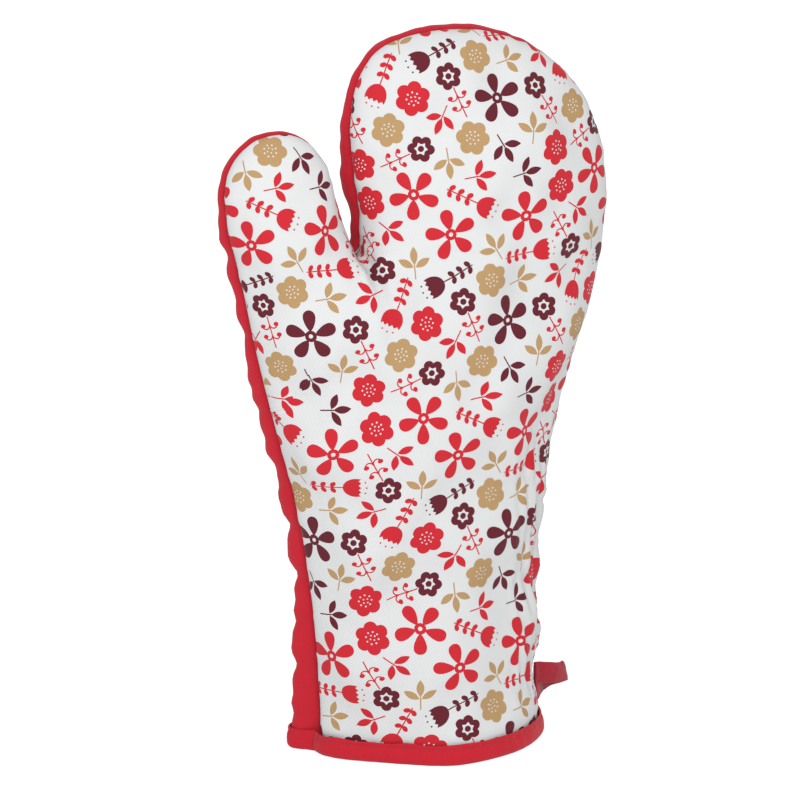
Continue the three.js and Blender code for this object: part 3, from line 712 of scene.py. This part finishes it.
def printed_twill():
    """White twill with an all-over print of small flowers, sprigs and berries."""
    s = Shader("printed_twill", roughness=0.8, sheen=0.04, specular=0.2)
    cloth = s.on_pattern()
    places = scatter(np.random.default_rng(5))

    def local(kind, height, radius, ink=None):
        """Coordinates in the motif whose disc this point is in, and its ink."""
        chosen = (900.0, 900.0, 0.0)
        height, radius = height * MOTIF_SCALE, radius * MOTIF_SCALE
        for x, y, turn, own_ink in places[kind]:
            cx, cy = x - math.sin(turn) * height, y + math.cos(turn) * height
            code = (turn + (own_ink if ink is None else ink)) * MM
            wrapped = s.vector("WRAP", cloth, (cx + TILE[0] / 2, cy + TILE[1] / 2, 1),
                               (cx - TILE[0] / 2, cy - TILE[1] / 2, -1))
            d = s.vector("SUBTRACT", wrapped, (cx, cy, code))
            chosen = s.mix_vector(s.length(d) < radius, chosen, d)
        turn = s.xyz(chosen)[2] * 1000
        turned = s.node("ShaderNodeVectorRotate", chosen, (0, 0, 0), (0, 0, 1), turn, rotation_type="Z_AXIS")
        x, y, _ = s.xyz(turned.outputs[0])
        return x / MOTIF_SCALE, (y + height) / MOTIF_SCALE, (turn > 0.0001) + (turn < -2 * math.pi) * 2 + 1

    x, y, ink = local("daisy", 0, 10.4)
    r, u, v = s.folded(x, y, 5)
    petal = (square((u - 5.9) / 3.9) + square(v / (u * 0.24 + 0.85))) < 1
    printed = (petal | (r < 2.2)) & (r > 0.8) & ink

    x, y, ink = local("blossom", 0, 6.9)
    r, u, v = s.folded(x, y, 6)
    shape = ((square(u - 4.0) + square(v)) < 2.6 ** 2) | (r < 4.6)
    _, u, v = s.folded(x, y, 8)
    dots = (square(u - 2.4) + square(v)) < 0.34 ** 2
    _, u, v = s.folded(x + 0.2, y, 4)
    dots = dots | ((square(u - 1.05) + square(v)) < 0.3 ** 2)
    printed = printed | (shape & (1 - dots) & ink)

    x, y, ink = local("ring", 0, 5.5)
    r, u, v = s.folded(x, y, 6)
    shape = ((square(u - 3.3) + square(v)) < 1.95 ** 2) | (r < 3.9)
    star = (r > 1.2) & ((u + abs(v) * 1.3) < 2.7)
    printed = printed | (shape & (1 - star) & ink)

    x, y, ink = local("ring", -11, 6.7, ink=RED_INK)
    row = s.math("WRAP", y, -6.9, -11.1) + 9.5
    side = abs(x)
    arm = (abs(s.math("SQRT", square(side - 1.7) + square(row - 1.5)) - 1.6) < 0.26) & (row < 1.5)
    berry = (square((side - 2.9) / 1.05) + square((row - 1.3) / 0.85)) < 1
    rows = (y > -15.2) & (y < -6.9)
    stem = (side < 0.25) & (y > -17.3) & (y < -4.6)
    printed = printed | ((((arm | berry) & rows) | stem) & ink)

    x, y, ink = local("tulip", 1, 6.9)
    teeth = 2.9 - abs(s.math("WRAP", x, 1.0, -1.0)) * 1.0
    cup = ((square(x / 4.1) + square((y - 0.9) / 5.0)) < 1) & (y < teeth)
    side = abs(x)
    dots = ((square(side - 2.4) + square(y - 4.4)) < 0.36 ** 2) | ((square(x) + square(y - 4.9)) < 0.36 ** 2)
    printed = printed | ((cup | dots) & ink)

    x, y, ink = local("tulip", -10.5, 6.9)
    side, row = abs(x), s.math("WRAP", y, -6.2, -9.9) + 8.3
    lobe = (square(((side - 1.35) * 0.8 + (row - 0.5) * 0.6) / 1.35)
            + square(((row - 0.5) * 0.8 - (side - 1.35) * 0.6) / 0.95)) < 1
    stem = (side < 0.25) & (y > -17.0) & (y < -3.6)
    printed = printed | (((lobe & (y < -6.2) & (y > -17.2)) | stem) & ink)

    x, y, ink = local("sprig", 1.5, 6.5)
    side, y = abs(x), y + 0.6
    outward, over = side * 0.87 + y * 0.5 - 3.7, side * 0.5 - y * 0.87
    leaf = abs(over) < (1 - square(outward / 3.2)) * 1.4
    top = side < (1 - square((y - 4.6) / 3.4)) * 1.4
    stem = (side < 0.25) & (y > -4.2) & (y < 5)
    printed = printed | ((leaf | top | stem) & ink)

    across = s.xyz(s.node("ShaderNodeVectorRotate", cloth, (0, 0, 0), (0, 0, 1), math.radians(52),
                          rotation_type="Z_AXIS").outputs[0])[0]
    wobble = s.noise(cloth, 6) * 1.6
    twill = s.math("SINE", across * (2 * math.pi / 0.92) + wobble) * 0.5 + 0.5
    fleck = s.noise(cloth, 0.5, 3, 0.7)
    shade = s.mix(twill, linear(217, 220, 223, EXPOSED), linear(242, 242, 240, EXPOSED))
    red = s.mix(twill * 0.5 + fleck * 0.3, RED, linear(216, 44, 56, EXPOSED))
    maroon = s.mix(twill * 0.5 + fleck * 0.3, MAROON, linear(112, 32, 46, EXPOSED))
    tan = s.mix(twill, TAN, linear(200, 170, 126, EXPOSED))
    colour = s.mix(printed > 0.5, shade, red)
    colour = s.mix(printed > 1.5, colour, maroon)
    colour = s.mix(printed > 2.5, colour, tan)
    s.bump(twill * 0.35 + fleck * 0.4 + s.noise(cloth, 7, 3) * 5, 0.12, 0.6)
    return s.done(colour)


def plain_weave(name, colour, deep, yarn=0.55, slub=9.0, sheen=0.06, soft=4.0):
    """Woven cotton: fine crossing yarns, slubs and slightly uneven dye."""
    s = Shader(name, roughness=0.85, sheen=sheen, specular=0.2)
    where = s.in_space()
    x, y, z = s.xyz(where)
    wave = (s.math("SINE", (x + y) * (2 * math.pi / yarn)) * s.math("SINE", z * (2 * math.pi / yarn))) * 0.5 + 0.5
    uneven = s.noise(where, slub, 4, 0.6)
    streak = s.noise(s.vector("MULTIPLY", where, (1, 1, 0.15)), 1.1, 2)
    height = wave * 0.4 + streak * 0.8 + s.noise(where, 6, 3) * soft
    s.bump(height, 0.14, 0.6)
    return s.done(s.mix(uneven * 0.55 + wave * 0.2 + streak * 0.25, deep, colour))


def fluffy(name, colour, deep):
    """Loose matted fibres."""
    s = Shader(name, roughness=0.95, sheen=0.3)
    where = s.in_space()
    fibres = s.noise(where, 1.1, 8, 0.75)
    clumps = s.noise(where, 9, 4, 0.6)
    s.bump(fibres + clumps * 3, 0.5, 0.8)
    return s.done(s.mix(fibres * 0.6 + clumps * 0.4, deep, colour))


def thread(name, colour, deep):
    """Twisted sewing thread."""
    s = Shader(name, roughness=0.6, sheen=0.1, specular=0.4)
    where = s.in_space()
    x, y, z = s.xyz(where)
    twist = s.math("SINE", (x + y + z * 2) * (2 * math.pi / 0.4)) * 0.5 + 0.5
    s.bump(twist, 0.05, 0.6)
    return s.done(s.mix(twist * 0.6 + s.noise(where, 4) * 0.4, deep, colour))


# ---------------------------------------------------------------- the mitt's layers
fine = Panel(80, 70, 48, 60, 70)
coarse = Panel(40, 36, 24, 30, 36)
twill_print, red_cotton = printed_twill(), plain_weave("red_cotton", COTTON_RED, COTTON_DEEP)
white_cotton = plain_weave("lining_cotton", linear(226, 224, 218, EXPOSED), linear(214, 211, 204, EXPOSED))
fleece = fluffy("wadding_fibre", linear(236, 235, 230, EXPOSED), linear(205, 203, 198, EXPOSED))
CREVICE = 0.2  # half the gap between the two halves at the seam
BILLOW_FRAMES, BILLOW_SHARE, BILLOW_CAP = 20, 0.5, 1.5


def smoothed(panel, values, rounds):
    e, n = panel.links(), len(panel.p)
    degree = np.bincount(e.ravel(), minlength=n)
    for _ in range(rounds):
        mean = (np.bincount(e[:, 0], values[e[:, 1]], n) + np.bincount(e[:, 1], values[e[:, 0]], n)) / degree
        values = lerp(values, mean, 0.5)
    return values


def billow(skin):
    """Folds of the stuffed cover, mm outwards: a cloth held at its seam and hem, a little too large, under pressure."""
    panel = skin.panel
    trial = new_object("trial", skin.base, panel.quads if skin.side < 0 else panel.quads[:, ::-1], white_cotton)
    held = trial.vertex_groups.new(name="held")
    held.add([int(v) for v in np.r_[panel.seam, panel.cuff]], 1.0, "REPLACE")
    cloth = trial.modifiers.new("cloth", "CLOTH")
    cloth.point_cache.frame_end = BILLOW_FRAMES
    c = cloth.settings
    c.quality, c.mass, c.air_damping = 6, 0.05, 1
    c.tension_stiffness = c.compression_stiffness = 15
    c.shear_stiffness, c.bending_stiffness = 7.5, 0.5
    c.vertex_group_mass, c.shrink_min = "held", -0.03
    c.use_pressure, c.uniform_pressure_force = True, 4
    c.effector_weights.gravity = 0
    for number in range(1, BILLOW_FRAMES + 1):
        bpy.context.scene.frame_set(number)
    now = trial.evaluated_get(bpy.context.evaluated_depsgraph_get()).data.vertices
    moved = np.zeros(3 * len(now), np.float32)
    now.foreach_get("co", moved)
    bpy.data.objects.remove(trial)
    bpy.context.scene.frame_set(1)
    out = ((moved.reshape(-1, 3) / MM - skin.base) * skin.normal).sum(1)
    folds = smoothed(panel, out - smoothed(panel, out, 60), 2) * smooth(1.5, 9, skin.from_seam)
    folds *= smooth(6, 24, panel.p[:, 1])
    return BILLOW_CAP * np.tanh(BILLOW_SHARE * folds / BILLOW_CAP)


def carried(values, source, target, near=4):
    """Values at one panel's points taken over to another's."""
    out = np.zeros(len(target.p))
    for i in range(0, len(target.p), 1000):
        d = np.linalg.norm(target.p[i:i + 1000, None] - source.p[None], axis=2)
        k = np.argpartition(d, near, axis=1)[:, :near]
        weight = 1 / (np.take_along_axis(d, k, 1) + 0.3) ** 2
        out[i:i + 1000] = (weight * values[k]).sum(1) / weight.sum(1)
    return smoothed(target, out, 6)


def at_seam(skin, depth):
    v = skin.at(depth)
    v[:, 1] += skin.side * CREVICE
    return v


def flat_size(panel, flat):
    """Width, length and area of the cut piece, m."""
    q = panel.quads
    a, b = flat[q[:, 2]] - flat[q[:, 0]], flat[q[:, 3]] - flat[q[:, 1]]
    area = np.abs(a[:, 0] * b[:, 1] - a[:, 1] * b[:, 0]).sum() / 2
    w, l = np.ptp(flat, axis=0)
    return (w * MM, l * MM), area * MM ** 2


def make_half(label, side, shell_material):
    skin, under = Skin(fine, side), Skin(coarse, side)
    folds = billow(under)
    w, wu = wrinkles(skin) - carried(folds, coarse, fine), wrinkles(under) - folds
    print(label, "folds", np.percentile(folds, (0, 5, 50, 95, 100)).round(2))
    wu += (0.5 + 0.4 * np.maximum(wu, 0)) * smooth(2, 9, under.from_seam)
    flat, flat_under = flatten(skin), flatten(under)
    shell = slab(f"{label}_cover", skin, at_seam(skin, w), at_seam(skin, w + SHELL), shell_material, flat)
    top, low = layer_stack(coarse.p[:, 1])
    wu_in = np.maximum(wu * 0.6, wu - 1.0)
    wadding = slab(f"{label}_padding", under, at_seam(under, wu + top), at_seam(under, wu_in + low), fleece,
                   flat_under)
    inner = wu_in + low + LAYER_GAP
    lining = slab(f"{label}_inside_lining", under, at_seam(under, inner), at_seam(under, inner + LINING),
                  white_cotton, flat_under)
    for piece, node, slot in ((shell, "shell_panel", "printed_twill" if side < 0 else "red_cotton"),
                              (wadding, "wadding", "wadding"), (lining, "lining", "lining")):
        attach(piece, "mitt")
        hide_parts(f"{label}_{node}")
    size, area = flat_size(fine, flat)
    size, area = flat_size(coarse, flat_under)
    print(label, "cut piece", [round(v, 4) for v in (*size, area)])
    return skin, w


front, front_depth = make_half("front", -1, twill_print)
back, back_depth = make_half("back", 1, red_cotton)


# ---------------------------------------------------------------- binding round the cuff
STITCH_PITCH, STITCH_LENGTH, STITCH_THICKNESS = 4.8, 2.7, 0.5
STITCH_HEIGHT = BINDING_HEIGHT - 2.0
BINDING, BINDING_GAP = 1.0, 0.3
binding_uneven, binding_edge, binding_fine = Waves(34), Waves(17), Waves(7)


class Hem:
    """The cuff edge of one half, evenly spaced along it, at any height and depth."""

    def __init__(self, skin, step=0.75):
        panel = skin.panel
        rows = panel.ids[:20]
        self.z = panel.p[rows, 1]
        self.base, self.out = skin.base[rows], unit(skin.normal[rows] * (1, 1, 0))
        foot = self.base[0, :, :2]
        at = lengths(foot)
        self.length = at[-1]
        self.s = np.linspace(0, self.length, int(round(self.length / step)) + 1)
        self.at, self.side = at, skin.side

    def point(self, s, z, depth):
        """Points at distances s along the edge, heights z and depths below the cover's outer surface."""
        s, z, depth = np.broadcast_arrays(s, z, depth)
        column = np.interp(s, self.at, np.arange(len(self.at)))
        low = np.minimum(column.astype(int), len(self.at) - 2)
        part = (column - low)[..., None]
        on, out = [], []
        for c in (low, low + 1):
            heights = self.z[:, c]
            k = np.clip((heights < np.maximum(z, 0)).sum(0), 1, len(heights) - 1)
            a, b = np.take_along_axis(heights, k[None] - 1, 0)[0], np.take_along_axis(heights, k[None], 0)[0]
            t = np.clip((z - a) / (b - a), 0, 1)[..., None]
            on.append(lerp(self.base[k - 1, c], self.base[k, c], t))
            out.append(lerp(self.out[k - 1, c], self.out[k, c], t))
        p = lerp(on[0], on[1], part) - unit(lerp(out[0], out[1], part)) * depth[..., None]
        p[..., 2] = z
        p[..., 1] += self.side * CREVICE
        return p


def binding_section():
    """Depth, height and how far each point follows the unevenness of the outside, all the way round."""
    outer = -BINDING_GAP - BINDING
    inner = layer_stack(0.0)[1] + LAYER_GAP + LINING + BINDING_GAP
    top = BINDING_HEIGHT
    z = np.array([top - 0.25, top - 0.7, 8.4, STITCH_HEIGHT + 0.4, STITCH_HEIGHT, STITCH_HEIGHT - 0.5, 6.4, 5.4, 4.3,
                  3.2, 2.2])
    swell = 0.35 * np.sin(np.clip((STITCH_HEIGHT - z) / STITCH_HEIGHT, 0, 1) * math.pi) ** 0.8
    face = [(outer - s + (0.3 if i == 0 else 0), h, 1.0) for i, (h, s) in enumerate(zip(z, swell))]
    round_out = [(outer + 2.0 - 2.2 * math.cos(a), 2.0 - 2.0 * math.sin(a), 0.8) for a in (0.35, 0.8, 1.2, 1.57)]
    round_in = [(inner + BINDING - 2.0 + 2.0 * math.sin(a), 2.0 - 2.0 * math.cos(a), 0.3)
                for a in (0, 0.4, 0.8, 1.2, 1.5)]
    inside = [(inner + BINDING, h, 0.3) for h in (4.0, 6.0, STITCH_HEIGHT, 8.6, top - 0.3)]
    back = [(inner + 0.5, top, 0.3), (inner, top - 0.5, 0.3), (inner, 5.0, 0.3), (inner - 0.5, 1.5, 0.3)]
    floor = [(inner - 2.0, 1.0, 0.5), (1.0, 1.0, 0.5)]
    cover = [(-BINDING_GAP, 1.8, 0.8), (-BINDING_GAP, 5.0, 1.0), (-BINDING_GAP, top - 0.6, 1.0),
             (outer + 0.55, top, 1.0)]
    return np.array(face + round_out + round_in + inside + back + floor + cover)


def stitch_starts(length):
    count = int(length / STITCH_PITCH)
    return (length - count * STITCH_PITCH) / 2 + (np.arange(count) + 0.5) * STITCH_PITCH


def hem_unevenness(hem, s, z):
    """How far the outside of the binding lies below its smooth shape."""
    across = 0.16 * binding_uneven(s, z * 0.5) + 0.10 * binding_edge(s, z) + 0.05 * binding_fine(s, z * 0.6)
    holes = np.abs(s[..., None] - stitch_starts(hem.length)).min(-1)
    row = np.exp(-((z - STITCH_HEIGHT) / 0.8) ** 2)
    return across + row * (0.18 + 0.25 * np.exp(-(holes / 1.5) ** 2))


def make_binding(label, hem):
    section = binding_section()
    s, z = np.meshgrid(hem.s, section[:, 1], indexing="ij")
    rise = 0.22 * binding_edge(hem.s, 3.0 + 0 * hem.s)[:, None] * smooth(7.5, 9.4, z)
    depth = section[:, 0] + section[:, 2] * hem_unevenness(hem, s, z)
    rings = hem.point(s, z, depth)
    rings[..., 2] += rise
    if hem.side < 0:
        rings = rings[:, ::-1]
    v, faces = tube_of(rings)
    piece = new_object(f"{label}_edge_binding", v, faces, binding_cotton)
    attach(piece, "mitt")
    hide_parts(f"{label}_cuff_binding")
    return piece


def make_stitches(label, hem):
    """Short straight stitches, sunk a little, on the outside of the binding."""
    verts, faces = [], []
    ring = np.arange(8) * 2 * math.pi / 8
    for start in stitch_starts(hem.length):
        t = np.array([-0.5, -0.46, -0.36, -0.12, 0.12, 0.36, 0.46, 0.5])
        s = start + STITCH_PITCH / 2 + t * STITCH_LENGTH
        if s[-1] > hem.length - 1:
            continue
        radius = STITCH_THICKNESS / 2 * np.sqrt(np.maximum(1 - (np.abs(t) / 0.52) ** 6, 0.02))
        sunk = -BINDING_GAP - BINDING - 0.12 + 0.22 * (np.abs(t) / 0.5) ** 2 + hem_unevenness(hem, s, s * 0 + STITCH_HEIGHT)
        rings = hem.point(s[:, None], STITCH_HEIGHT + radius[:, None] * np.sin(ring),
                          sunk[:, None] - radius[:, None] * np.cos(ring))
        if hem.side > 0:
            rings = rings[:, ::-1]
        v, f = tube_of(rings)
        faces += [[i + len(verts) * len(v) for i in face] for face in f]
        verts.append(v)
    piece = new_object(f"{label}_hem_stitches", np.vstack(verts), faces, red_thread)
    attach(piece, "mitt")
    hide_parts(f"{label}_binding_topstitch")
    return piece


binding_cotton = plain_weave("binding_cotton", BINDING_RED, linear(200, 20, 40, EXPOSED), yarn=0.45, slub=6, soft=2.5)
red_thread = thread("red_thread", linear(196, 34, 52, EXPOSED), linear(160, 22, 40, EXPOSED))
for label, skin in (("front", front), ("back", back)):
    hem = Hem(skin)
    binding = make_binding(label, hem)
    stitches = make_stitches(label, hem)
    strip = 2 * BINDING_HEIGHT + layer_stack(0.0)[1] + LINING + 2 * BINDING
    strip * MM

# ---------------------------------------------------------------- hanging loop
TAPE_WIDTH, TAPE_THICKNESS, LOOP_REACH, LOOP_HALF_OPENING, LOOP_ROOT_GAP = 10.0, 1.5, 24.0, 4.0, -1.0
LOOP_LEG_OFFSET, LOOP_DROOP, LOOP_TURN, LOOP_ABOVE_BINDING = 8.4, 4.6, math.radians(38), 0.3
tape_uneven, tape_fine = Waves(14), Waves(5)


def tape_path(steps_out=40, steps_round=24):
    turn = LOOP_REACH - LOOP_HALF_OPENING - TAPE_THICKNESS / 2
    r = np.linspace(LOOP_ROOT_GAP, turn, steps_out)
    out = np.stack([r, -LOOP_HALF_OPENING * smooth(LOOP_ROOT_GAP, turn * 0.7, r)], 1)
    a = np.linspace(-math.pi / 2, math.pi / 2, steps_round)[1:-1]
    bend = np.stack([turn + LOOP_HALF_OPENING * np.cos(a), LOOP_HALF_OPENING * np.sin(a)], 1)
    return np.vstack([out, bend, (out * (1, -1))[::-1]])


def make_loop():
    path = tape_path()
    s = lengths(path)
    step = unit(np.gradient(path, s, axis=0))
    out = np.stack([-step[:, 1], step[:, 0]], 1)
    t = np.linspace(-1, 1, 27)
    t = np.sign(t) * np.abs(t) ** 0.7
    half = TAPE_THICKNESS / 2 * np.sqrt(np.maximum(1 - np.abs(t) ** 8, 0)) * (1 - 0.3 * np.exp(-((np.abs(t) - 0.74) / 0.07) ** 2))
    around = np.vstack([np.stack([half, t], 1), np.stack([-half[1:-1], t[1:-1]], 1)[::-1]])
    offset, height = around[:, 0][None], around[:, 1][None]
    uneven = (0.14 * tape_uneven(s[:, None], height * 5) + 0.05 * tape_fine(s[:, None], height * 5))
    level = (-LOOP_LEG_OFFSET * np.clip((s / s[-1] - 0.46) / 0.54, 0, 1) ** 0.7 - LOOP_DROOP * path[:, 0] / LOOP_REACH)[:, None]
    free = smooth(1, 6, path[:, 0])[:, None]
    slant = 1 - 0.085 * (1 + height) * free
    r = path[:, :1] * slant + out[:, :1] * (offset + uneven * free)
    q = path[:, 1:] + out[:, 1:] * (offset + uneven * free)
    z = level + height * TAPE_WIDTH / 2 + 0.25 * free * tape_uneven(s[:, None] + 40, height * 0)
    c, n = math.cos(LOOP_TURN), math.sin(LOOP_TURN)
    rings = np.stack(np.broadcast_arrays(r * c - q * n, r * n + q * c, z), -1)
    rings += (CUFF_RIGHT, 0, BINDING_HEIGHT + LOOP_ABOVE_BINDING - z.min())
    v, faces = tube_of((rings + SHIFT)[:, ::-1])
    piece = new_object("loop_tape", v, faces, loop_cotton)
    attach(piece, "loop")
    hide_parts("hanging_loop")
    print("loop tape", round(s[-1], 1))


loop_cotton = plain_weave("loop_tape_cotton", TAPE_RED, linear(160, 22, 42, EXPOSED), yarn=0.45, slub=5, sheen=0.12,
                          soft=1.5)
make_loop()


# ---------------------------------------------------------------- floor and studio light
def soft_light(name, watts, size, azimuth, elevation, distance, aim):
    data = bpy.data.lights.new(name, "AREA")
    data.energy, data.shape, data.size = watts, "DISK", size
    lamp = bpy.data.objects.new(name, data)
    a, e = math.radians(azimuth), math.radians(elevation)
    centre = Vector((0, 0, aim))
    away = Vector((math.sin(a) * math.cos(e), -math.cos(a) * math.cos(e), math.sin(e)))
    lamp.location = centre + away * distance
    lamp.rotation_euler = away.to_track_quat("Z", "Y").to_euler()
    bpy.context.scene.collection.objects.link(lamp)


def studio():
    floor_paper = Shader("floor_paper", roughness=0.9, sheen=0, specular=0.1)
    floor_paper.surface.inputs["Emission Color"].default_value = (1, 1, 1, 1)
    floor_paper.surface.inputs["Emission Strength"].default_value = 0.72
    mesh = bpy.data.meshes.new("floor")
    half = 12
    mesh.from_pydata([(-half, -half, 0), (half, -half, 0), (half, half, 0), (-half, half, 0)], [], [(0, 1, 2, 3)])
    mesh.materials.append(floor_paper.done((0.4, 0.4, 0.4, 1)))
    floor = bpy.data.objects.new("floor", mesh)
    bpy.context.scene.collection.objects.link(floor)
    world = bpy.data.worlds.new("studio")
    world.use_nodes = True
    world.node_tree.nodes["Background"].inputs["Color"].default_value = (1, 1, 1, 1)
    world.node_tree.nodes["Background"].inputs["Strength"].default_value = 1.0
    bpy.context.scene.world = world
    soft_light("key", 7.6, 0.55, -20, 20, 0.95, 0.22)
    soft_light("top", 0.7, 0.5, 0, 75, 0.7, 0.2)
    bpy.context.scene.view_settings.view_transform = "Standard"


studio()
